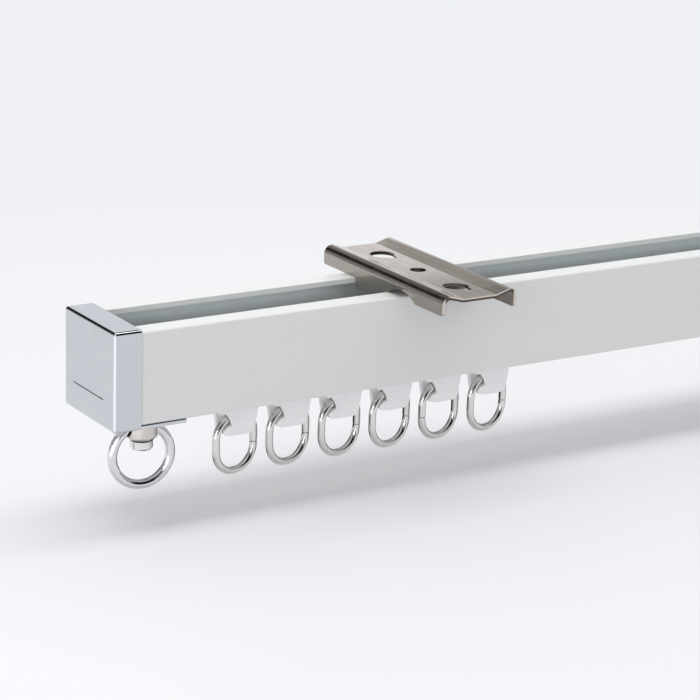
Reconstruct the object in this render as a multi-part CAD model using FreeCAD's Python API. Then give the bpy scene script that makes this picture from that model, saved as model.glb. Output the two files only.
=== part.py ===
import FreeCAD, Part
import math
import os

os.makedirs("parts", exist_ok=True)

# The curtain track hangs under a ceiling. All sizes are millimetres.
# x runs along the rail, y across it with minus y towards the room, z points up.
# The origin is midway between the two ceiling screws, on top of the bracket webs.

# Rail sizes
track_length = 600.0
rail_width = 28.0
rail_height = 25.0
rail_wall = 1.4
rail_edge_radius = 0.5
groove_opening = 16.4
groove_lip = 1.4
groove_depth = 6.4
groove_floor = 1.4
channel_width = 14.4
channel_wall = 1.2
slot_width = 6.0
slot_lip = 1.4

# End cap sizes
cap_length = 7.8
cap_side_overlap = 0.4
cap_top_overlap = 0.75
cap_bottom_overlap = 1.1
cap_edge_radius = 0.8
cap_face_gap = 0.02
tenon_depth = 10.0
tenon_clearance = 0.15
foot_reach = 13.5
foot_side_step = 0.1
foot_gap = 0.05
mark_height = 7.6
mark_length = 17.3
mark_shift = 0.45
mark_width = 0.4
mark_depth = 0.4

# Swivel and end ring sizes
swivel_from_cap = 7.6
barrel_radius = 4.25
barrel_length = 7.65
barrel_gap = 0.05
barrel_low_edge = 1.0
barrel_high_edge = 0.3
tip_radius = 3.0
tip_length = 2.75
tip_edge = 0.5
neck_radius = 2.0
neck_clearance = 0.06
peened_clearance = 0.25
peened_height = 0.9
end_ring_radius = 8.26
end_ring_wire = 2.55
end_ring_depth = 4.47
end_ring_clearance = 0.15
end_ring_turn = -5.0

# Runner sizes
runner_count = 6
runner_length = 16.4
runner_gap = 0.1
first_runner_from_end = 43.7
slot_clearance = 0.3
wheel_headroom = 2.8
wheel_gap = 0.05
wheel_side_gap = 0.15
axle_radius = 1.5
axle_clearance = 0.05
snap_height = 0.3
snap_width = 0.5
snap_clearance = 0.4
plate_above_axle = 3.6
plate_above_lip = 0.6
plate_corner = 1.5
neck_drop = 1.0
tongue_width = 12.6
tongue_step = 0.4
tongue_depth = 11.4
tongue_taper = 1.4
tongue_corner = 1.8
tongue_bow = 0.15
leaf_thickness = 1.4
leaf_top = 4.9
eye_width = 5.6
eye_lean = 24.0
eye_clearance = 0.25
ring_room = 0.45

# Runner ring sizes
ring_width = 13.8
ring_height = 14.9
ring_corner = 5.0
ring_low_corner = 6.4
ring_wire = 2.05
ring_depth = 7.0
ring_joint_drop = 8.0
ring_joint_gap = 0.25
ring_turn = 14.0
ring_with_joint_on_left = 5

# Bracket sizes
bracket_from_end = 97.5
bracket_length = 60.0
bracket_width = 23.8
bracket_height = 4.1
bracket_offset = 5.0
sheet = 1.0
web_width = 10.5
corner_rise = 1.75
outer_bend = 1.9
web_bend = 1.5
screw_hole_radius = 2.25
keyhole_radius = 3.5
keyhole_spacing = 36.8
keyhole_slot_width = 2.8
keyhole_reach = 4.9
keyhole_slot_shift = 1.0
arch_width = 13.3
arch_rise = 2.2
arch_to_lip = 0.4
flange_corner = 0.8
lip_clearance = 0.15
tab_depth = 3.2
tab_far_chamfer = 0.9
tab_rise = 1.65
tab_rise_length = 10.2
hook_reach = 2.0
hook_corner = 0.4
hook_slope = 1.6

# Places that follow from the sizes
rail_top = -bracket_height
rail_bottom = rail_top - rail_height
rail_middle = bracket_offset
half_track = track_length / 2
rail_end = half_track - cap_length - cap_face_gap
floor_top = rail_top - groove_depth
channel_top = floor_top - groove_floor
channel_bottom = rail_bottom + slot_lip
half_channel = channel_width / 2
half_slot = slot_width / 2
half_opening = groove_opening / 2
inner_half = rail_width / 2 - rail_wall


def box(x_low, x_high, y_low, y_high, z_low, z_high):
    corner = FreeCAD.Vector(x_low, y_low, z_low)
    return Part.makeBox(x_high - x_low, y_high - y_low, z_high - z_low, corner)


def save(shape, name):
    solid = shape.removeSplitter()
    if not solid.isValid() or len(solid.Solids) != 1:
        raise ValueError(name + " is not one sound solid")
    solid.Solids[0].exportStep("parts/" + name + ".step")


def turned(shape, angle, centre):
    copy = shape.copy()
    copy.rotate(centre, FreeCAD.Vector(0, 0, 1), angle)
    return copy


def moved(shape, x_shift):
    copy = shape.copy()
    copy.translate(FreeCAD.Vector(x_shift, 0, 0))
    return copy


def mirrored(shape):
    return shape.mirror(FreeCAD.Vector(0, 0, 0), FreeCAD.Vector(1, 0, 0))


# Rail: a square tube with a groove for the brackets above and a channel for the runners below
def make_rail():
    low = rail_middle - rail_width / 2
    high = rail_middle + rail_width / 2
    bar = box(-rail_end, rail_end, low, high, rail_bottom, rail_top)
    long_edges = [edge for edge in bar.Edges if edge.Length > 2 * rail_end - 1]
    bar = bar.makeFillet(rail_edge_radius, long_edges)

    def hollow(y_low, y_high, z_low, z_high):
        return box(-half_track, half_track, rail_middle + y_low, rail_middle + y_high, z_low, z_high)

    chamber_start = half_channel + channel_wall
    hollows = [
        hollow(-inner_half, inner_half, floor_top, rail_top - groove_lip),
        hollow(-half_opening, half_opening, floor_top, rail_top + 1),
        hollow(-half_channel, half_channel, channel_bottom, channel_top),
        hollow(-half_slot, half_slot, rail_bottom - 1, channel_top),
        hollow(chamber_start, inner_half, channel_bottom, channel_top),
        hollow(-inner_half, -chamber_start, channel_bottom, channel_top),
    ]
    for space in hollows:
        bar = bar.cut(space)
    return bar


save(make_rail(), "rail")

# End cap on the left: a rounded block with three tenons in the rail and a foot under it
cap_low = rail_bottom - cap_bottom_overlap
cap_high = rail_top + cap_top_overlap
cap_half = rail_width / 2 + cap_side_overlap
cap_inner_face = -half_track + cap_length
swivel_x = cap_inner_face + swivel_from_cap


def make_cap():
    near_side = rail_middle - cap_half
    far_side = rail_middle + cap_half
    block = box(-half_track, cap_inner_face, near_side, far_side, cap_low, cap_high)
    rounded = [edge for edge in block.Edges if edge.CenterOfMass.x < cap_inner_face - 0.001]
    block = block.makeFillet(cap_edge_radius, rounded)

    mark_middle = rail_middle + mark_shift
    mark_z = cap_low + mark_height
    mark = box(
        -half_track - 1,
        -half_track + mark_depth,
        mark_middle - mark_length / 2,
        mark_middle + mark_length / 2,
        mark_z - mark_width / 2,
        mark_z + mark_width / 2,
    )
    block = block.cut(mark)

    def tenon(y_low, y_high):
        return box(
            cap_inner_face - 1,
            cap_inner_face + tenon_depth,
            rail_middle + y_low + tenon_clearance,
            rail_middle + y_high - tenon_clearance,
            channel_bottom + tenon_clearance,
            channel_top - tenon_clearance,
        )

    chamber_start = half_channel + channel_wall
    foot_half = rail_width / 2 - foot_side_step
    foot = box(
        cap_inner_face - 1,
        cap_inner_face + foot_reach,
        rail_middle - foot_half,
        rail_middle + foot_half,
        cap_low,
        rail_bottom - foot_gap,
    )
    added = [
        tenon(-half_channel, half_channel),
        tenon(chamber_start, inner_half),
        tenon(-inner_half, -chamber_start),
        foot,
    ]
    for piece in added:
        block = block.fuse(piece)
    pin_start = FreeCAD.Vector(swivel_x, rail_middle, cap_low - 1)
    pin_hole = Part.makeCylinder(neck_radius + neck_clearance, cap_bottom_overlap + 1, pin_start)
    return block.cut(pin_hole)


cap = make_cap()
save(cap, "end_cap_left")
save(mirrored(cap), "end_cap_right")

# Swivel: a turned barrel that hangs by a riveted neck from the foot
end_ring_wire_radius = end_ring_wire / 2
end_ring_rise = math.sqrt(end_ring_radius ** 2 - barrel_radius ** 2)
end_ring_sag = end_ring_radius - end_ring_rise
sloped_wire = end_ring_wire_radius * end_ring_radius / end_ring_rise
cross_hole_radius = sloped_wire + end_ring_sag / 2 + end_ring_clearance
cross_hole_z = cap_low - end_ring_depth
peened_radius = half_slot - peened_clearance


def make_swivel():
    barrel_high = cap_low - barrel_gap
    barrel_low = cap_low - barrel_length
    tip_low = barrel_low - tip_length
    head_low = rail_bottom - foot_gap + barrel_gap
    head_high = head_low + peened_height
    profile = [
        (0, tip_low),
        (tip_radius - tip_edge, tip_low),
        (tip_radius, tip_low + tip_edge),
        (tip_radius, barrel_low),
        (barrel_radius - barrel_low_edge, barrel_low),
        (barrel_radius, barrel_low + barrel_low_edge),
        (barrel_radius, barrel_high - barrel_high_edge),
        (barrel_radius - barrel_high_edge, barrel_high),
        (neck_radius, barrel_high),
        (neck_radius, head_low),
        (peened_radius, head_low),
        (peened_radius, head_low + peened_height / 2),
        (neck_radius, head_high),
        (0, head_high),
        (0, tip_low),
    ]
    corners = [FreeCAD.Vector(swivel_x + across, rail_middle, up) for across, up in profile]
    face = Part.Face(Part.makePolygon(corners))
    middle = FreeCAD.Vector(swivel_x, rail_middle, 0)
    body = face.revolve(middle, FreeCAD.Vector(0, 0, 1), 360)
    reach = barrel_radius + 1
    start = FreeCAD.Vector(swivel_x - reach, rail_middle, cross_hole_z)
    cross_hole = Part.makeCylinder(cross_hole_radius, 2 * reach, start, FreeCAD.Vector(1, 0, 0))
    return body.cut(turned(cross_hole, end_ring_turn, middle))


# End ring: a closed round ring through the swivel
def make_end_ring():
    centre_z = cross_hole_z + end_ring_sag / 2 - end_ring_radius
    centre = FreeCAD.Vector(swivel_x, rail_middle, centre_z)
    ring = Part.makeTorus(end_ring_radius, end_ring_wire_radius, centre, FreeCAD.Vector(0, 1, 0))
    return turned(ring, end_ring_turn, centre)


swivel = make_swivel()
save(swivel, "swivel_left")
save(mirrored(swivel), "swivel_right")

end_ring = make_end_ring()
save(end_ring, "end_ring_left")
save(mirrored(end_ring), "end_ring_right")

# Runner: a moulded plate that stands in the slot, with two stub axles above and a tongue below
half_runner = runner_length / 2
half_plate = half_slot - slot_clearance
wheel_radius = (channel_top - channel_bottom - wheel_headroom) / 2
axle_z = channel_bottom + wheel_radius + wheel_gap
wheel_inner = half_plate + wheel_side_gap
snap_outer = half_channel - snap_clearance
snap_inner = snap_outer - snap_width
wheel_outer = snap_inner - wheel_side_gap
snap_radius = axle_radius + snap_height
runner_pitch = runner_length + runner_gap
first_runner_x = -half_track + first_runner_from_end

ring_wire_radius = ring_wire / 2
half_eye = eye_width / 2
straight_half = ring_width / 2 - ring_corner
eye_along = half_eye / math.cos(math.radians(ring_turn)) - straight_half
ring_rise = math.sqrt(ring_corner ** 2 - eye_along ** 2)
ring_sag = ring_corner - ring_rise
eye_radius = ring_wire_radius * ring_corner / ring_rise + ring_sag / 2 + eye_clearance
ring_top_z = rail_bottom - ring_depth
eye_z = ring_top_z - ring_sag / 2


def side_outline(points, y_start, thickness):
    corners = [FreeCAD.Vector(x, y_start, z) for x, z in points]
    face = Part.Face(Part.makePolygon(corners + [corners[0]]))
    return face.extrude(FreeCAD.Vector(0, thickness, 0))


def make_tongue(half_tongue):
    top = rail_bottom - neck_drop
    low = rail_bottom - tongue_depth
    shoulder = half_tongue - tongue_taper
    corner_x = shoulder - tongue_corner
    corner_z = low + tongue_bow
    y_start = rail_middle - half_plate + tongue_step
    bend = tongue_corner * (1 - math.sqrt(0.5))

    def at(x, z):
        return FreeCAD.Vector(x, y_start, z)

    right_arc = Part.Arc(
        at(shoulder, corner_z + tongue_corner),
        at(shoulder - bend, corner_z + bend),
        at(corner_x, corner_z),
    )
    bottom_arc = Part.Arc(at(corner_x, corner_z), at(0, low), at(-corner_x, corner_z))
    left_arc = Part.Arc(
        at(-corner_x, corner_z),
        at(bend - shoulder, corner_z + bend),
        at(-shoulder, corner_z + tongue_corner),
    )
    sides = [
        Part.makeLine(at(-half_tongue, top), at(half_tongue, top)),
        Part.makeLine(at(half_tongue, top), at(shoulder, corner_z + tongue_corner)),
        right_arc.toShape(),
        bottom_arc.toShape(),
        left_arc.toShape(),
        Part.makeLine(at(-shoulder, corner_z + tongue_corner), at(-half_tongue, top)),
    ]
    face = Part.Face(Part.Wire(sides))
    return face.extrude(FreeCAD.Vector(0, 2 * (half_plate - tongue_step), 0))


# The room beside the eye where the ring's wire bends down, left open to the near side
def make_ring_room(half_tongue):
    half_thick = half_plate - tongue_step
    high = rail_bottom - leaf_top
    low = rail_bottom - tongue_depth - 1
    far_left = -half_tongue - 1
    lean = math.tan(math.radians(eye_lean))
    sloped_points = [
        (far_left, high),
        (-half_eye - (high - eye_z) * lean, high),
        (-half_eye + (eye_z - low) * lean, low),
        (far_left, low),
    ]
    depth = 2 * half_thick - leaf_thickness
    y_start = rail_middle - half_thick - 1
    room = side_outline(sloped_points, y_start, depth + 1)
    bend_middle = FreeCAD.Vector(-straight_half, y_start - 1, ring_top_z - ring_corner)
    under_wire = ring_corner - ring_wire_radius - ring_room
    return room.cut(Part.makeCylinder(under_wire, depth + 3, bend_middle, FreeCAD.Vector(0, 1, 0)))


def make_runner():
    half_tongue = tongue_width / 2
    plate_low = channel_bottom + plate_above_lip
    plate_high = axle_z + plate_above_axle
    plate_points = [
        (-half_runner, plate_low),
        (half_runner, plate_low),
        (half_runner, plate_high - plate_corner),
        (half_runner - plate_corner, plate_high),
        (plate_corner - half_runner, plate_high),
        (-half_runner, plate_high - plate_corner),
    ]
    body = side_outline(plate_points, rail_middle - half_plate, 2 * half_plate)
    neck = box(
        -half_tongue,
        half_tongue,
        rail_middle - half_plate,
        rail_middle + half_plate,
        rail_bottom - neck_drop,
        plate_low + 1,
    )
    body = body.fuse(neck)

    across = FreeCAD.Vector(0, 1, 0)
    axle_start = FreeCAD.Vector(0, rail_middle - snap_outer, axle_z)
    far_snap_start = FreeCAD.Vector(0, rail_middle + snap_inner, axle_z)
    axle = Part.makeCylinder(axle_radius, 2 * snap_outer, axle_start, across)
    near_snap = Part.makeCylinder(snap_radius, snap_width, axle_start, across)
    far_snap = Part.makeCylinder(snap_radius, snap_width, far_snap_start, across)
    for piece in [axle, near_snap, far_snap, make_tongue(half_tongue)]:
        body = body.fuse(piece)

    near_room = make_ring_room(half_tongue)
    far_room = turned(near_room, 180, FreeCAD.Vector(0, rail_middle, 0))
    body = body.cut(near_room).cut(far_room)

    middle = FreeCAD.Vector(0, rail_middle, eye_z)
    eye_start = FreeCAD.Vector(-half_tongue, rail_middle, eye_z)
    eye = Part.makeCylinder(eye_radius, tongue_width, eye_start, FreeCAD.Vector(1, 0, 0))
    return body.cut(turned(eye, ring_turn, middle))


# Wheel: a plain disc on each stub axle, rolling on the slot's lip
def make_wheel():
    width = wheel_outer - wheel_inner
    start = FreeCAD.Vector(0, rail_middle + wheel_inner, axle_z)
    across = FreeCAD.Vector(0, 1, 0)
    disc = Part.makeCylinder(wheel_radius, width, start, across)
    return disc.cut(Part.makeCylinder(axle_radius + axle_clearance, width, start, across))


# Runner ring: bent wire in a rounded rectangle, its two ends meeting on one side
def make_runner_ring():
    half_width = ring_width / 2
    low_straight = half_width - ring_low_corner
    low_z = ring_top_z - ring_height
    bend = ring_corner * (1 - math.sqrt(0.5))
    low_bend = ring_low_corner * (1 - math.sqrt(0.5))
    upper_end = ring_top_z - ring_joint_drop
    lower_end = upper_end - ring_joint_gap
    upper = ring_top_z - ring_corner
    lower = low_z + ring_low_corner

    def at(x, z):
        return FreeCAD.Vector(x, rail_middle, z)

    def corner(start, through, end):
        return Part.Arc(at(*start), at(*through), at(*end)).toShape()

    path = Part.Wire([
        Part.makeLine(at(half_width, upper_end), at(half_width, upper)),
        corner((half_width, upper), (half_width - bend, ring_top_z - bend), (straight_half, ring_top_z)),
        Part.makeLine(at(straight_half, ring_top_z), at(-straight_half, ring_top_z)),
        corner((-straight_half, ring_top_z), (bend - half_width, ring_top_z - bend), (-half_width, upper)),
        Part.makeLine(at(-half_width, upper), at(-half_width, lower)),
        corner((-half_width, lower), (low_bend - half_width, low_z + low_bend), (-low_straight, low_z)),
        Part.makeLine(at(-low_straight, low_z), at(low_straight, low_z)),
        corner((low_straight, low_z), (half_width - low_bend, low_z + low_bend), (half_width, lower)),
        Part.makeLine(at(half_width, lower), at(half_width, lower_end)),
    ])
    circle = Part.Circle(at(half_width, upper_end), FreeCAD.Vector(0, 0, 1), ring_wire_radius)
    ring = path.makePipeShell([Part.Wire(circle.toShape())], True, False)
    return turned(ring, ring_turn, at(0, 0))


runner = make_runner()
far_wheel = make_wheel()
near_wheel = turned(far_wheel, 180, FreeCAD.Vector(0, rail_middle, 0))
runner_ring = make_runner_ring()
reversed_ring = turned(runner_ring, 180, FreeCAD.Vector(0, rail_middle, 0))

for number in range(1, runner_count + 1):
    place = first_runner_x + (number - 1) * runner_pitch
    ring_here = reversed_ring if number == ring_with_joint_on_left else runner_ring
    save(moved(runner, place), "runner_" + str(number))
    save(moved(near_wheel, place), "wheel_near_" + str(number))
    save(moved(far_wheel, place), "wheel_far_" + str(number))
    save(moved(ring_here, place), "runner_ring_" + str(number))


# Bracket: one folded sheet. Its middle line is followed with a bend at each corner.
def folded_strip(points, bends, length):
    half = sheet / 2
    left_side = []
    right_side = []
    previous = None
    for index in range(len(points)):
        here = points[index]
        if index == 0 or index == len(points) - 1:
            other = points[1] if index == 0 else points[-2]
            way = (other - here) if index == 0 else (here - other)
            way.normalize()
            side = FreeCAD.Vector(-way.z, 0, way.x)
            ends = (here + side * half, here - side * half)
            if index == 0:
                first = ends
                previous = ends
            else:
                left_side.append(Part.makeLine(previous[0], ends[0]))
                right_side.append(Part.makeLine(previous[1], ends[1]))
                last = ends
            continue
        before = here - points[index - 1]
        after = points[index + 1] - here
        before.normalize()
        after.normalize()
        bend = bends[index - 1]
        turn = math.acos(before.dot(after))
        tangent = bend * math.tan(turn / 2)
        leftwards = before.x * after.z - before.z * after.x > 0
        inward = 1 if leftwards else -1
        before_side = FreeCAD.Vector(-before.z, 0, before.x) * inward
        after_side = FreeCAD.Vector(-after.z, 0, after.x) * inward
        centre = here - before * tangent + before_side * bend
        middle = (before_side + after_side).normalize()
        arcs = []
        for away in (half * inward, -half * inward):
            radius = bend - away
            start = centre - before_side * radius
            through = centre - middle * radius
            end = centre - after_side * radius
            arcs.append((start, through, end))
        left_side.append(Part.makeLine(previous[0], arcs[0][0]))
        left_side.append(Part.Arc(*arcs[0]).toShape())
        right_side.append(Part.makeLine(previous[1], arcs[1][0]))
        right_side.append(Part.Arc(*arcs[1]).toShape())
        previous = (arcs[0][2], arcs[1][2])
    closing = [Part.makeLine(last[0], last[1]), Part.makeLine(first[0], first[1])]
    outline = Part.Wire(Part.__sortEdges__(left_side + right_side + closing))
    return Part.Face(outline).extrude(FreeCAD.Vector(0, length, 0))


# The lower edge of both flanges: an arch on the near side, then a tab that clips between the lips
def flange_outline():
    half_length = bracket_length / 2
    lip_edge = rail_middle - half_opening
    tab_near = lip_edge + lip_clearance
    tab_far = rail_middle + half_opening - lip_clearance
    arch_end = lip_edge - arch_to_lip
    arch_start = arch_end - arch_width
    tab_low = rail_top - tab_depth
    hook_top = rail_top - groove_lip - lip_clearance
    hook_end = lip_edge - hook_reach
    rise_start = tab_far - tab_far_chamfer
    rise_end = rise_start - tab_rise_length
    hook_inner = rise_end - hook_slope
    above = corner_rise + sheet
    bend = flange_corner * (1 - math.sqrt(0.5))

    def at(y, z):
        return FreeCAD.Vector(0, y, z)

    near_corner = Part.Arc(
        at(-half_length, rail_top + flange_corner),
        at(bend - half_length, rail_top + bend),
        at(flange_corner - half_length, rail_top),
    )
    arch_middle = (arch_start + arch_end) / 2
    arch = Part.Arc(
        at(arch_start, rail_top),
        at(arch_middle, rail_top + arch_rise),
        at(arch_end, rail_top),
    )
    far_corner = Part.Arc(
        at(half_length - flange_corner, rail_top),
        at(half_length - bend, rail_top + bend),
        at(half_length, rail_top + flange_corner),
    )
    tab_points = [
        at(arch_end, rail_top),
        at(tab_near, rail_top),
        at(tab_near, hook_top),
        at(hook_end + hook_corner, hook_top),
        at(hook_end, hook_top - hook_corner),
        at(hook_end, tab_low + hook_corner),
        at(hook_end + hook_corner, tab_low),
        at(hook_inner, tab_low),
        at(rise_end, tab_low + tab_rise),
        at(rise_start, tab_low),
        at(tab_far, tab_low + tab_far_chamfer),
        at(tab_far, rail_top),
    ]
    edges = [
        Part.makeLine(at(-half_length, above), at(-half_length, rail_top + flange_corner)),
        near_corner.toShape(),
        Part.makeLine(at(flange_corner - half_length, rail_top), at(arch_start, rail_top)),
        arch.toShape(),
    ]
    for start, end in zip(tab_points, tab_points[1:]):
        edges.append(Part.makeLine(start, end))
    edges += [
        Part.makeLine(at(tab_far, rail_top), at(half_length - flange_corner, rail_top)),
        far_corner.toShape(),
        Part.makeLine(at(half_length, rail_top + flange_corner), at(half_length, above)),
        Part.makeLine(at(half_length, above), at(-half_length, above)),
    ]
    return Part.Wire(edges)


def keyhole(y):
    start = FreeCAD.Vector(0, y, -sheet - 1)
    slot_radius = keyhole_slot_width / 2
    slot_end = y - keyhole_reach + slot_radius
    hole = Part.makeCylinder(keyhole_radius, sheet + 2, start)
    slot_start = FreeCAD.Vector(keyhole_slot_shift, slot_end, -sheet - 1)
    end = Part.makeCylinder(slot_radius, sheet + 2, slot_start)
    slot_low = keyhole_slot_shift - slot_radius
    slot_high = keyhole_slot_shift + slot_radius
    slot = box(slot_low, slot_high, slot_end, y, -sheet - 1, 1)
    return hole.fuse(end).fuse(slot)


def make_bracket():
    half_length = bracket_length / 2
    side_x = (bracket_width - sheet) / 2
    web_x = web_width / 2
    web_z = -sheet / 2
    corner_z = web_z + corner_rise
    bottom_z = rail_top - tab_depth - 1
    points = [
        FreeCAD.Vector(-side_x, -half_length, bottom_z),
        FreeCAD.Vector(-side_x, -half_length, corner_z),
        FreeCAD.Vector(-web_x, -half_length, web_z),
        FreeCAD.Vector(web_x, -half_length, web_z),
        FreeCAD.Vector(side_x, -half_length, corner_z),
        FreeCAD.Vector(side_x, -half_length, bottom_z),
    ]
    folded = folded_strip(points, [outer_bend, web_bend, web_bend, outer_bend], bracket_length)
    outline = Part.Face(flange_outline())
    outline.translate(FreeCAD.Vector(-bracket_width, 0, 0))
    folded = folded.common(outline.extrude(FreeCAD.Vector(2 * bracket_width, 0, 0)))
    screw_hole = Part.makeCylinder(screw_hole_radius, sheet + 2, FreeCAD.Vector(0, 0, -sheet - 1))
    for hole in [screw_hole, keyhole(-keyhole_spacing / 2), keyhole(keyhole_spacing / 2)]:
        folded = folded.cut(hole)
    return folded


bracket = make_bracket()
bracket_x = half_track - bracket_from_end
save(moved(bracket, -bracket_x), "bracket_left")
save(moved(bracket, bracket_x), "bracket_right")
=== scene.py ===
import math

import bpy
from mathutils import Matrix, Vector


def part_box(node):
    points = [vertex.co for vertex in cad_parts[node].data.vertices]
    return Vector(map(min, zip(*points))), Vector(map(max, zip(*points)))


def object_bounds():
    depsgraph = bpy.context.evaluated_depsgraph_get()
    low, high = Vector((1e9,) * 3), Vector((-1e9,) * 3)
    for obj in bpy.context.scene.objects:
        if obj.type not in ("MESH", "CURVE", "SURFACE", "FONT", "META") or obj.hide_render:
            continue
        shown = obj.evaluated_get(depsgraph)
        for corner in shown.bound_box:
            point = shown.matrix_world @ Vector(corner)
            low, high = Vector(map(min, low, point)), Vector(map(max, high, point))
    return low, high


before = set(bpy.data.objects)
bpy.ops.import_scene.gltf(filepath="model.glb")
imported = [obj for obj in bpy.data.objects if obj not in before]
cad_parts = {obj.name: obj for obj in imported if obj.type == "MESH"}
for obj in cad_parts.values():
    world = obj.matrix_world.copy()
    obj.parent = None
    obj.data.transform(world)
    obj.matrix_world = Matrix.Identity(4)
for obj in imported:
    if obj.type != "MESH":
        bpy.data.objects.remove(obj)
cad_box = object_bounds()

# Photograph's camera in the part's own frame, in metres, degrees and pixels
CAMERA_PLACE = Vector((-0.580227, -0.563821, 0.180977))
CAMERA_AZIMUTH = 32.308
CAMERA_DROP = 16.781
CAMERA_ROLL = 1.9215
CAMERA_REACH = (0.01, 50)
FOCAL_PIXELS = 2559.76
PICTURE_WIDTH = 700
SENSOR_WIDTH = 36.0

# Places read from the frame, in metres
object_low = Vector(cad_box[0])
rail_low, rail_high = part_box("rail")
swivel_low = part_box("swivel_left")[0]
bracket_low, bracket_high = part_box("bracket_right")
FLOOR_DROP = 0.008
FLOOR_HEIGHT = object_low.z - FLOOR_DROP
SKIN = 0.0001

# Rail and cap: where the bare inside starts, and the height of the painted shade in the gap over the cap's
# foot
RAIL_MIDDLE = (rail_low.y + rail_high.y) / 2
RAIL_HALF_WIDTH = (rail_high.y - rail_low.y) / 2
RAIL_LIP = 0.00135
FOOT_SHADE_HEIGHT = 0.00025
CAP_CORNER = (object_low.x, rail_low.y, rail_low.z)

# Swivel: the turned tip, and the reach of the painted shade line on either side of its top
TIP_LENGTH = 0.00275
TIP_TOP = swivel_low.z + TIP_LENGTH
TIP_SHADE_REACH = 0.00035

# Bracket: its middle, the inside of its sheet, the web that rises towards its sides, and how far below the
# web's top the painted shade on its ends starts
BRACKET_X = (bracket_low.x + bracket_high.x) / 2
BRACKET_HALF_LENGTH = (bracket_high.y - bracket_low.y) / 2 - SKIN
SHEET_INSIDE = 0.00095
BRACKET_HALF_INSIDE = (bracket_high.x - bracket_low.x) / 2 - SHEET_INSIDE
WEB_HALF_WIDTH = 0.00525
WEB_SLOPE = 0.285
END_SHADE_DROP = 0.0004

# Finish colours, a pair where a noise mixes them, and single colours of painted shade where marked
LACQUER = ((0.73, 0.735, 0.73), (0.745, 0.75, 0.745))
BARE_ALUMINIUM = ((0.70, 0.735, 0.74), (0.78, 0.815, 0.82))
CAP_CHROME = ((0.59, 0.61, 0.64), (0.62, 0.64, 0.665))
# Painted shade for the gap over the cap's foot
CAP_GAP_SHADE = (0.08, 0.085, 0.09)
BROWN_NICKEL = ((0.68, 0.615, 0.55), (0.54, 0.485, 0.43))
# Painted shade on the bracket: down the flanges, under the web, in the holes, and on the cut ends
BRACKET_FLANGE_SHADE = (0.40, 0.365, 0.33)
BRACKET_UNDERSIDE_SHADE = (0.30, 0.27, 0.24)
BRACKET_HOLE_SHADE = (0.12, 0.105, 0.09)
BRACKET_END_SHADE = (0.10, 0.085, 0.075)
BARREL_NICKEL = ((0.72, 0.67, 0.65), (0.62, 0.575, 0.555))
TIP_NICKEL = ((0.80, 0.80, 0.80), (0.74, 0.74, 0.74))
# Painted shade between the swivel's barrel and tip
SWIVEL_GAP_SHADE = (0.06, 0.055, 0.05)
RING_CHROME = ((0.74, 0.74, 0.75), (0.78, 0.78, 0.79))
RING_NICKEL = ((0.79, 0.78, 0.755), (0.73, 0.72, 0.695))
MILKY_PLASTIC = ((0.93, 0.93, 0.945), (0.95, 0.95, 0.96))
WHEEL_PLASTIC = ((0.78, 0.78, 0.77), (0.84, 0.84, 0.83))

# Noise: its usual detail and roughness, and the part of its range that is spread out
NOISE_DETAIL = 3.0
NOISE_ROUGHNESS = 0.55
NOISE_RANGE = (0.3, 0.7)
WHOLE_SPAN = (0, 1)

# Clouds of tone: noise scale
LACQUER_CLOUD = 30
PLATE_CLOUD = 120
MILKY_CLOUD = 180
WHEEL_CLOUD = 300

# Drawing and turning marks: noise scale along x, y and z, with detail and depth in metres where they need it
RAIL_MARKS = (8, 900, 900)
BRACKET_MARKS = (700, 60, 700)
BRACKET_MARK_DETAIL = 5.0
BRACKET_MARK_DEPTH = 0.00003
SWIVEL_MARKS = (60, 60, 2500)
SWIVEL_MARK_DEPTH = 0.000008

# Wear: noise scale, and the span of roughness that it gives
RAIL_WEAR = (260, (0.28, 0.32))
CAP_WEAR = (420, (0.05, 0.09))
END_RING_WEAR = (420, (0.05, 0.09))
RUNNER_RING_WEAR = (420, (0.06, 0.11))
BRACKET_WEAR = (260, (0.10, 0.2))
BRACKET_INSIDE_DULLER = 0.2
SWIVEL_WEAR = (500, (0.2, 0.26))
TIP_SMOOTHER = 0.14
MILKY_WEAR = (600, (0.3, 0.4))
WHEEL_WEAR = (700, (0.4, 0.55))

# Grain: noise scale, its detail, and its depth in metres
RAIL_GRAIN = (1400, 2.0, 0.000006)
CAP_GRAIN = (900, 4.0, 0.000003)
END_RING_GRAIN = (900, 4.0, 0.000004)
RUNNER_RING_GRAIN = (900, 4.0, 0.000008)
MOULDED_GRAIN = (1500, 2.0, 0.00001)

# How metallic the rail's bare inside is, and how far light sinks into the milky plastic, in metres
BARE_METALLIC = 0.35
MILKY_WEIGHT = 0.2
MILKY_RADIUS = (1, 1, 1)
MILKY_DEPTH = 0.001

# Soft light from all round, stronger from behind the track and weaker from in front by a share
WORLD_FILL = 0.85
REAR_SHARE = 0.52

# What shiny surfaces see of the room. A wall has the azimuth and height of its middle in degrees, how far
# from the middle its glow is gone and full, how many times wider than high it is, and its glow. The ceiling
# has how steep a direction is where its glow is gone and full, and its glow.
PAPER = (0.862, 0.871, 0.905)
BACKDROP = (25.0, 5.0, (0.56, 0.33), 1.1, 1.0)
RIGHT_WALL = (102.0, 10.0, (0.78, 0.66), 2.0, 0.5)
LEFT_WALL = (-75.0, 10.0, (0.76, 0.64), 1.5, 0.5)
FRONT_WALL = (-150.0, 8.0, (0.62, 0.45), 1.6, 0.35)
CEILING = (0.90, 0.97, 0.7)
ROOM_GLOW = 0.015

# Floor, and how far behind the track it starts and ends to fade into the backdrop
FLOOR_SIZE = 8.0
FLOOR_COLOUR = (0.745, 0.75, 0.77)
FLOOR_ROUGHNESS = 0.9
FLOOR_FADE = (0.1, 0.35)

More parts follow.
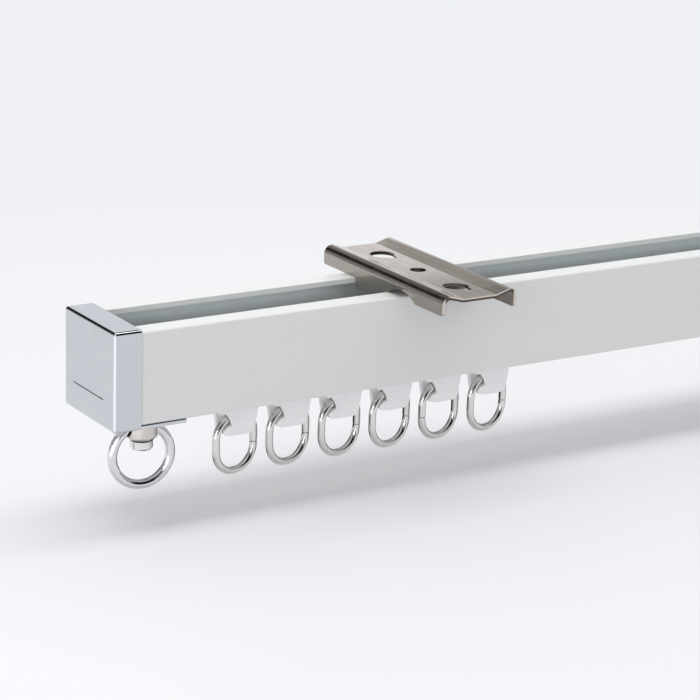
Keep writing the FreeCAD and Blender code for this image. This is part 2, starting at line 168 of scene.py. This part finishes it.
# Lamps: place, what they aim at, width and depth, and power in watts
OVERHEAD_STRIP = ((-0.1, -0.09, 1.2), (-0.1, 0.0, 0), (2.0, 0.4), 8.0)
FRONT_FILL = ((-2.0, -1.35, 0.6), (-0.3, 0, 0), (1.0, 1.0), 9.0)

# Bright card by the left cap: its azimuths and heights in degrees, its distance and its glow
LOW_CARD = ((-165, -75), (-26, 11), 0.06, 1.5)

# Flags: two opposite corners and a glow
FLAG_HEIGHT = FLOOR_HEIGHT + 0.0005
FLOOR_FLAG = ((-0.275, 0.016, FLAG_HEIGHT), (-0.05, 0.09, FLAG_HEIGHT), ROOM_GLOW)
REAR_FLAG = ((-0.22, 0.075, 0.027), (-0.04, 0.075, 0.07), 0.42)


def add_camera():
    azimuth = math.radians(CAMERA_AZIMUTH)
    drop = math.radians(CAMERA_DROP)
    roll = math.radians(CAMERA_ROLL)
    level = Vector((math.sin(azimuth), math.cos(azimuth), 0))
    sideways = Vector((math.cos(azimuth), -math.sin(azimuth), 0))
    upright = Vector((0, 0, 1))
    ahead = level * math.cos(drop) - upright * math.sin(drop)
    above = level * math.sin(drop) + upright * math.cos(drop)
    right = sideways * math.cos(roll) + above * math.sin(roll)
    up = above * math.cos(roll) - sideways * math.sin(roll)
    data = bpy.data.cameras.new("photo_camera")
    data.sensor_width = SENSOR_WIDTH
    data.lens = SENSOR_WIDTH * FOCAL_PIXELS / PICTURE_WIDTH
    data.clip_start, data.clip_end = CAMERA_REACH
    camera = bpy.data.objects.new("photo_camera", data)
    turn = Matrix((right, up, -ahead)).transposed().to_4x4()
    camera.matrix_world = Matrix.Translation(CAMERA_PLACE) @ turn
    bpy.context.scene.collection.objects.link(camera)
    bpy.context.scene.camera = camera


def node_material(name):
    material = bpy.data.materials.new(name)
    material.use_nodes = True
    tree = material.node_tree
    return material, tree, tree.nodes["Principled BSDF"]


def math_node(tree, operation, first, second=None):
    node = tree.nodes.new("ShaderNodeMath")
    node.operation = operation
    for socket, value in zip(node.inputs, (first, second)):
        if value is None:
            continue
        if isinstance(value, (int, float)):
            socket.default_value = value
        else:
            tree.links.new(value, socket)
    return node.outputs[0]


def all_of(tree, first, second, third):
    return math_node(tree, "MULTIPLY", math_node(tree, "MULTIPLY", first, second), third)


def distance_from(tree, value, middle):
    return math_node(tree, "ABSOLUTE", math_node(tree, "SUBTRACT", value, middle))


def object_place(tree):
    return tree.nodes.new("ShaderNodeTexCoord").outputs["Object"]


def axes_of(tree, vector):
    split = tree.nodes.new("ShaderNodeSeparateXYZ")
    tree.links.new(vector, split.inputs[0])
    return split.outputs


def noise(tree, vector, scale, detail=NOISE_DETAIL):
    node = tree.nodes.new("ShaderNodeTexNoise")
    node.inputs["Scale"].default_value = scale
    node.inputs["Detail"].default_value = detail
    node.inputs["Roughness"].default_value = NOISE_ROUGHNESS
    tree.links.new(vector, node.inputs["Vector"])
    return node.outputs["Fac"]


def marks_along(tree, vector, scales, detail=NOISE_DETAIL):
    node = tree.nodes.new("ShaderNodeMapping")
    node.inputs["Scale"].default_value = scales
    tree.links.new(vector, node.inputs["Vector"])
    return noise(tree, node.outputs["Vector"], 1.0, detail)


def spread(tree, value, span):
    node = tree.nodes.new("ShaderNodeMapRange")
    node.inputs["From Min"].default_value = NOISE_RANGE[0]
    node.inputs["From Max"].default_value = NOISE_RANGE[1]
    node.inputs["To Min"].default_value = span[0]
    node.inputs["To Max"].default_value = span[1]
    tree.links.new(value, node.inputs["Value"])
    return node.outputs["Result"]


def smooth_step(tree, value, reach, full=1.0):
    node = tree.nodes.new("ShaderNodeMapRange")
    node.interpolation_type = "SMOOTHSTEP"
    node.inputs["From Min"].default_value = reach[0]
    node.inputs["From Max"].default_value = reach[1]
    node.inputs["To Max"].default_value = full
    tree.links.new(value, node.inputs["Value"])
    return node.outputs["Result"]


def mixed_colour(tree, factor, first, second):
    node = tree.nodes.new("ShaderNodeMix")
    node.data_type = "RGBA"
    tree.links.new(factor, node.inputs["Factor"])
    for socket, value in ((node.inputs[6], first), (node.inputs[7], second)):
        if isinstance(value, tuple):
            socket.default_value = value + (1,)
        else:
            tree.links.new(value, socket)
    return node.outputs[2]


def worn(tree, vector, wear):
    scale, span = wear
    return spread(tree, noise(tree, vector, scale), span)


def bump(tree, shader, height, depth):
    node = tree.nodes.new("ShaderNodeBump")
    node.inputs["Distance"].default_value = depth
    node.inputs["Strength"].default_value = 1.0
    tree.links.new(height, node.inputs["Height"])
    tree.links.new(node.outputs["Normal"], shader.inputs["Normal"])


def add_grain(tree, shader, vector, grain):
    scale, detail, depth = grain
    bump(tree, shader, noise(tree, vector, scale, detail), depth)


def dress(node_name, material):
    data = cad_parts[node_name].data
    data.materials.clear()
    data.materials.append(material)


# Rail: white lacquer outside, bare aluminium in the groove and the channel
def rail_material():
    material, tree, shader = node_material("rail_white_lacquer")
    vector = object_place(tree)
    axes = axes_of(tree, vector)
    from_middle = distance_from(tree, axes["Y"], RAIL_MIDDLE)
    within_sides = math_node(tree, "LESS_THAN", from_middle, RAIL_HALF_WIDTH - SKIN)
    below_lips = math_node(tree, "LESS_THAN", axes["Z"], rail_high.z - RAIL_LIP)
    above_slot = math_node(tree, "GREATER_THAN", axes["Z"], rail_low.z + RAIL_LIP)
    inside = all_of(tree, within_sides, below_lips, above_slot)
    bare = mixed_colour(tree, marks_along(tree, vector, RAIL_MARKS), *BARE_ALUMINIUM)
    lacquer = mixed_colour(tree, noise(tree, vector, LACQUER_CLOUD), *LACQUER)
    tree.links.new(mixed_colour(tree, inside, lacquer, bare), shader.inputs["Base Color"])
    metallic = math_node(tree, "MULTIPLY", inside, BARE_METALLIC)
    tree.links.new(metallic, shader.inputs["Metallic"])
    tree.links.new(worn(tree, vector, RAIL_WEAR), shader.inputs["Roughness"])
    add_grain(tree, shader, vector, RAIL_GRAIN)
    return material


def plated_material(name, colours, wear, grain):
    material, tree, shader = node_material(name)
    vector = object_place(tree)
    tone = spread(tree, noise(tree, vector, PLATE_CLOUD), WHOLE_SPAN)
    tree.links.new(mixed_colour(tree, tone, *colours), shader.inputs["Base Color"])
    shader.inputs["Metallic"].default_value = 1
    tree.links.new(worn(tree, vector, wear), shader.inputs["Roughness"])
    add_grain(tree, shader, vector, grain)
    return material


# Cap: bright chrome plate, and a dark line of painted shade for the gap where its foot meets the rail
def cap_material():
    material = plated_material("cap_chrome_plate", CAP_CHROME, CAP_WEAR, CAP_GRAIN)
    tree = material.node_tree
    shader = tree.nodes["Principled BSDF"]
    plate = shader.inputs["Base Color"].links[0].from_socket
    axes = axes_of(tree, object_place(tree))
    from_centre = math_node(tree, "ABSOLUTE", axes["X"])
    along_rail = math_node(tree, "LESS_THAN", from_centre, rail_high.x)
    near_rail = math_node(tree, "GREATER_THAN", axes["Z"], rail_low.z - FOOT_SHADE_HEIGHT)
    under_rail = math_node(tree, "LESS_THAN", axes["Z"], rail_low.z)
    # Painted shade: the top of the foot just under the rail is coloured dark for the gap's shadow
    gap_shade = all_of(tree, along_rail, near_rail, under_rail)
    tree.links.new(mixed_colour(tree, gap_shade, plate, CAP_GAP_SHADE), shader.inputs["Base Color"])
    return material


# Bracket: brown nickel with fine drawing marks, rougher under the web, with painted shade under the web, in
# the holes and down the flanges, and the darkest painted shade on its cut ends below their top edge
def bracket_material():
    material, tree, shader = node_material("bracket_brown_nickel")
    vector = object_place(tree)
    axes = axes_of(tree, vector)
    off_centre = distance_from(tree, math_node(tree, "ABSOLUTE", axes["X"]), BRACKET_X)
    past_web = math_node(tree, "SUBTRACT", off_centre, WEB_HALF_WIDTH)
    climb = math_node(tree, "MULTIPLY", past_web, WEB_SLOPE)
    web_top = math_node(tree, "MAXIMUM", climb, 0)
    under_skin = math_node(tree, "SUBTRACT", web_top, SKIN)
    under = math_node(tree, "LESS_THAN", axes["Z"], under_skin)
    between = math_node(tree, "LESS_THAN", off_centre, BRACKET_HALF_INSIDE)
    off_length = math_node(tree, "ABSOLUTE", axes["Y"])
    short_of_ends = math_node(tree, "LESS_THAN", off_length, BRACKET_HALF_LENGTH)
    inside = all_of(tree, under, between, short_of_ends)
    marks = marks_along(tree, vector, BRACKET_MARKS, BRACKET_MARK_DETAIL)
    plate = mixed_colour(tree, spread(tree, marks, WHOLE_SPAN), *BROWN_NICKEL)
    # Painted shade: darker under the web, and darkest in the holes
    in_holes = math_node(tree, "LESS_THAN", off_centre, WEB_HALF_WIDTH)
    painted_shade_inside = mixed_colour(tree, in_holes, BRACKET_UNDERSIDE_SHADE, BRACKET_HOLE_SHADE)
    # Painted shade down the outside of the flanges
    beside = math_node(tree, "MAXIMUM", math_node(tree, "SUBTRACT", short_of_ends, between), 0)
    below_web = math_node(tree, "LESS_THAN", axes["Z"], 0)
    shaded_flanges = math_node(tree, "MULTIPLY", beside, below_web)
    outer = mixed_colour(tree, shaded_flanges, plate, BRACKET_FLANGE_SHADE)
    body = mixed_colour(tree, inside, outer, painted_shade_inside)
    # Painted shade on the cut ends, below a thin band at the top of the web
    past_ends = math_node(tree, "SUBTRACT", 1, short_of_ends)
    end_shade_top = math_node(tree, "SUBTRACT", web_top, END_SHADE_DROP)
    below_end_shade_top = math_node(tree, "LESS_THAN", axes["Z"], end_shade_top)
    painted_end_shade = all_of(tree, past_ends, below_end_shade_top, between)
    tree.links.new(mixed_colour(tree, painted_end_shade, body, BRACKET_END_SHADE), shader.inputs["Base Color"])
    shader.inputs["Metallic"].default_value = 1
    duller = math_node(tree, "MULTIPLY", inside, BRACKET_INSIDE_DULLER)
    roughness = math_node(tree, "ADD", worn(tree, vector, BRACKET_WEAR), duller)
    tree.links.new(roughness, shader.inputs["Roughness"])
    bump(tree, shader, marks, BRACKET_MARK_DEPTH)
    return material


# Swivel: matt nickel barrel with a bright turned tip and a line of painted shade between them
def swivel_material():
    material, tree, shader = node_material("swivel_nickel")
    vector = object_place(tree)
    axes = axes_of(tree, vector)
    tip = math_node(tree, "LESS_THAN", axes["Z"], TIP_TOP)
    from_joint = distance_from(tree, axes["Z"], TIP_TOP)
    # Painted shade: a dark band either side of the tip's top stands in for the shadow between barrel and tip
    gap_shade = math_node(tree, "LESS_THAN", from_joint, TIP_SHADE_REACH)
    marks = marks_along(tree, vector, SWIVEL_MARKS)
    tone = spread(tree, marks, WHOLE_SPAN)
    barrel = mixed_colour(tree, tone, *BARREL_NICKEL)
    bright = mixed_colour(tree, tone, *TIP_NICKEL)
    metal = mixed_colour(tree, tip, barrel, bright)
    tree.links.new(mixed_colour(tree, gap_shade, metal, SWIVEL_GAP_SHADE), shader.inputs["Base Color"])
    shader.inputs["Metallic"].default_value = 1
    smoother = math_node(tree, "MULTIPLY", tip, TIP_SMOOTHER)
    roughness = math_node(tree, "SUBTRACT", worn(tree, vector, SWIVEL_WEAR), smoother)
    tree.links.new(roughness, shader.inputs["Roughness"])
    bump(tree, shader, marks, SWIVEL_MARK_DEPTH)
    return material


def milky_material():
    material, tree, shader = node_material("milky_plastic")
    vector = object_place(tree)
    cloud = spread(tree, noise(tree, vector, MILKY_CLOUD), WHOLE_SPAN)
    tree.links.new(mixed_colour(tree, cloud, *MILKY_PLASTIC), shader.inputs["Base Color"])
    shader.inputs["Subsurface Weight"].default_value = MILKY_WEIGHT
    shader.inputs["Subsurface Radius"].default_value = MILKY_RADIUS
    shader.inputs["Subsurface Scale"].default_value = MILKY_DEPTH
    tree.links.new(worn(tree, vector, MILKY_WEAR), shader.inputs["Roughness"])
    add_grain(tree, shader, vector, MOULDED_GRAIN)
    return material


def wheel_material():
    material, tree, shader = node_material("wheel_plastic_white")
    vector = object_place(tree)
    cloud = noise(tree, vector, WHEEL_CLOUD)
    tree.links.new(mixed_colour(tree, cloud, *WHEEL_PLASTIC), shader.inputs["Base Color"])
    tree.links.new(worn(tree, vector, WHEEL_WEAR), shader.inputs["Roughness"])
    add_grain(tree, shader, vector, MOULDED_GRAIN)
    return material


# A piece takes the first finish whose word its name starts with
def dress_all():
    rail = rail_material()
    cap = cap_material()
    bracket = bracket_material()
    swivel = swivel_material()
    end_ring = plated_material("end_ring_chrome", RING_CHROME, END_RING_WEAR, END_RING_GRAIN)
    runner_ring = plated_material(
        "runner_ring_nickel", RING_NICKEL, RUNNER_RING_WEAR, RUNNER_RING_GRAIN
    )
    milky = milky_material()
    wheel = wheel_material()
    finishes = (
        ("rail", rail),
        ("end_cap", cap),
        ("bracket", bracket),
        ("swivel", swivel),
        ("end_ring", end_ring),
        ("runner_ring", runner_ring),
        ("runner_", milky),
        ("wheel", wheel),
    )
    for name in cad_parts:
        for start, material in finishes:
            if name.startswith(start):
                dress(name, material)
                break


# What the camera, shiny surfaces and clear ones see is the white backdrop, and not the light's own strength
def white_seen(tree):
    path = tree.nodes.new("ShaderNodeLightPath")
    seen = math_node(tree, "MAXIMUM", path.outputs["Is Camera Ray"], path.outputs["Is Glossy Ray"])
    return math_node(tree, "MAXIMUM", seen, path.outputs["Is Transmission Ray"])


# A soft lit patch round its middle, on its own side of the room only
def lit_patch(tree, axes, azimuth, height, reach, squash, glow):
    turn = math.radians(azimuth)
    across_x = math_node(tree, "MULTIPLY", axes["X"], math.cos(turn))
    across_y = math_node(tree, "MULTIPLY", axes["Y"], -math.sin(turn))
    ahead_x = math_node(tree, "MULTIPLY", axes["X"], math.sin(turn))
    ahead_y = math_node(tree, "MULTIPLY", axes["Y"], math.cos(turn))
    across = math_node(tree, "ADD", across_x, across_y)
    ahead = math_node(tree, "GREATER_THAN", math_node(tree, "ADD", ahead_x, ahead_y), 0)
    above = math_node(tree, "SUBTRACT", axes["Z"], math.sin(math.radians(height)))
    across_squared = math_node(tree, "POWER", across, 2)
    above_squared = math_node(tree, "POWER", math_node(tree, "MULTIPLY", above, squash), 2)
    off_middle = math_node(tree, "SQRT", math_node(tree, "ADD", across_squared, above_squared))
    return math_node(tree, "MULTIPLY", smooth_step(tree, off_middle, reach, glow), ahead)


# A lit backdrop behind the track, dimmer walls round it, a lit ceiling, and a dark room between them
def room(tree, axes):
    lit = ROOM_GLOW
    for wall in (BACKDROP, RIGHT_WALL, LEFT_WALL, FRONT_WALL):
        lit = math_node(tree, "MAXIMUM", lit_patch(tree, axes, *wall), lit)
    gone, full, glow = CEILING
    ceiling = smooth_step(tree, axes["Z"], (gone, full), glow)
    lit = math_node(tree, "MAXIMUM", lit, ceiling)
    path = tree.nodes.new("ShaderNodeLightPath")
    return math_node(tree, "MAXIMUM", lit, path.outputs["Is Camera Ray"])


def add_world():
    world = bpy.data.worlds.new("studio")
    world.use_nodes = True
    bpy.context.scene.world = world
    tree = world.node_tree
    fill = tree.nodes["Background"]
    fill.inputs["Color"].default_value = (1, 1, 1, 1)
    direction = tree.nodes.new("ShaderNodeTexCoord").outputs["Generated"]
    axes = axes_of(tree, direction)
    rear = math_node(tree, "MULTIPLY", axes["Y"], WORLD_FILL * REAR_SHARE)
    tree.links.new(math_node(tree, "ADD", rear, WORLD_FILL), fill.inputs["Strength"])
    glow = tree.nodes.new("ShaderNodeBackground")
    glow.inputs["Color"].default_value = PAPER + (1,)
    tree.links.new(room(tree, axes), glow.inputs["Strength"])
    blend = tree.nodes.new("ShaderNodeMixShader")
    tree.links.new(white_seen(tree), blend.inputs[0])
    tree.links.new(fill.outputs[0], blend.inputs[1])
    tree.links.new(glow.outputs[0], blend.inputs[2])
    tree.links.new(blend.outputs[0], tree.nodes["World Output"].inputs["Surface"])


# Pale paper that takes the shadow, and fades into the backdrop's white further behind the track
def add_floor():
    bpy.ops.object.select_all(action="DESELECT")
    bpy.ops.mesh.primitive_plane_add(size=FLOOR_SIZE, location=(0, 0, FLOOR_HEIGHT))
    floor = bpy.context.object
    floor.name = "pale_floor"
    material, tree, shader = node_material("floor_paper")
    shader.inputs["Base Color"].default_value = FLOOR_COLOUR + (1,)
    shader.inputs["Roughness"].default_value = FLOOR_ROUGHNESS
    axes = axes_of(tree, object_place(tree))
    turn = math.radians(CAMERA_AZIMUTH)
    along_x = math_node(tree, "MULTIPLY", axes["X"], math.sin(turn))
    along_y = math_node(tree, "MULTIPLY", axes["Y"], math.cos(turn))
    away = math_node(tree, "ADD", along_x, along_y)
    far = smooth_step(tree, away, FLOOR_FADE)
    seen_far = math_node(tree, "MULTIPLY", white_seen(tree), far)
    paper = tree.nodes.new("ShaderNodeEmission")
    paper.inputs["Color"].default_value = PAPER + (1,)
    blend = tree.nodes.new("ShaderNodeMixShader")
    tree.links.new(seen_far, blend.inputs[0])
    tree.links.new(shader.outputs[0], blend.inputs[1])
    tree.links.new(paper.outputs[0], blend.inputs[2])
    tree.links.new(blend.outputs[0], tree.nodes["Material Output"].inputs["Surface"])
    floor.data.materials.append(material)


def add_lamp(name, place, aim, size, power):
    data = bpy.data.lights.new(name, "AREA")
    data.shape = "RECTANGLE"
    data.size, data.size_y = size
    data.energy = power
    lamp = bpy.data.objects.new(name, data)
    lamp.location = place
    lamp.rotation_euler = (Vector(aim) - Vector(place)).to_track_quat("-Z", "Y").to_euler()
    bpy.context.scene.collection.objects.link(lamp)


# Shiny surfaces alone see the card and the flags, which light nothing dull and throw no shadow
def stage_card(card, name, glow):
    card.name = name
    bpy.ops.object.transform_apply(location=True, rotation=True, scale=True)
    material, tree, shader = node_material(name + "_paper")
    shader.inputs["Base Color"].default_value = (0, 0, 0, 1)
    shader.inputs["Roughness"].default_value = 1
    shader.inputs["Specular IOR Level"].default_value = 0
    shader.inputs["Emission Color"].default_value = (1, 1, 1, 1)
    shader.inputs["Emission Strength"].default_value = glow
    card.data.materials.append(material)
    card.visible_camera = False
    card.visible_diffuse = False
    card.visible_transmission = False
    card.visible_shadow = False


# A flag lies flat between two corners, or stands upright between them along x
def add_flag(name, low, high, glow, upright=False):
    middle = (Vector(low) + Vector(high)) / 2
    tilt = math.pi / 2 if upright else 0
    depth = high[2] - low[2] if upright else high[1] - low[1]
    bpy.ops.object.select_all(action="DESELECT")
    bpy.ops.mesh.primitive_plane_add(size=1, location=middle, rotation=(tilt, 0, 0))
    flag = bpy.context.object
    flag.scale = (high[0] - low[0], depth, 1)
    stage_card(flag, name, glow)


# A card stands upright at a distance from a centre, between two azimuths and two heights seen from it
def add_card(name, centre, azimuths, heights, distance, glow):
    middle = math.radians(sum(azimuths) / 2)
    half_turn = math.radians(azimuths[1] - azimuths[0]) / 2
    width = 2 * distance * math.tan(half_turn)
    low = distance * math.tan(math.radians(heights[0]))
    high = distance * math.tan(math.radians(heights[1]))
    place = Vector(centre) + Vector((math.sin(middle), math.cos(middle), 0)) * distance
    place.z = centre[2] + (low + high) / 2
    bpy.ops.object.select_all(action="DESELECT")
    bpy.ops.mesh.primitive_plane_add(size=1, location=place, rotation=(math.pi / 2, 0, -middle))
    card = bpy.context.object
    card.scale = (width, high - low, 1)
    stage_card(card, name, glow)


add_camera()
dress_all()
add_world()
add_floor()
add_lamp("overhead_strip", *OVERHEAD_STRIP)
add_lamp("front_fill", *FRONT_FILL)
add_card("bright_low_card", CAP_CORNER, *LOW_CARD)
add_flag("dark_floor_flag", *FLOOR_FLAG)
add_flag("grey_rear_flag", *REAR_FLAG, upright=True)

bpy.context.scene.view_settings.view_transform = "Standard"
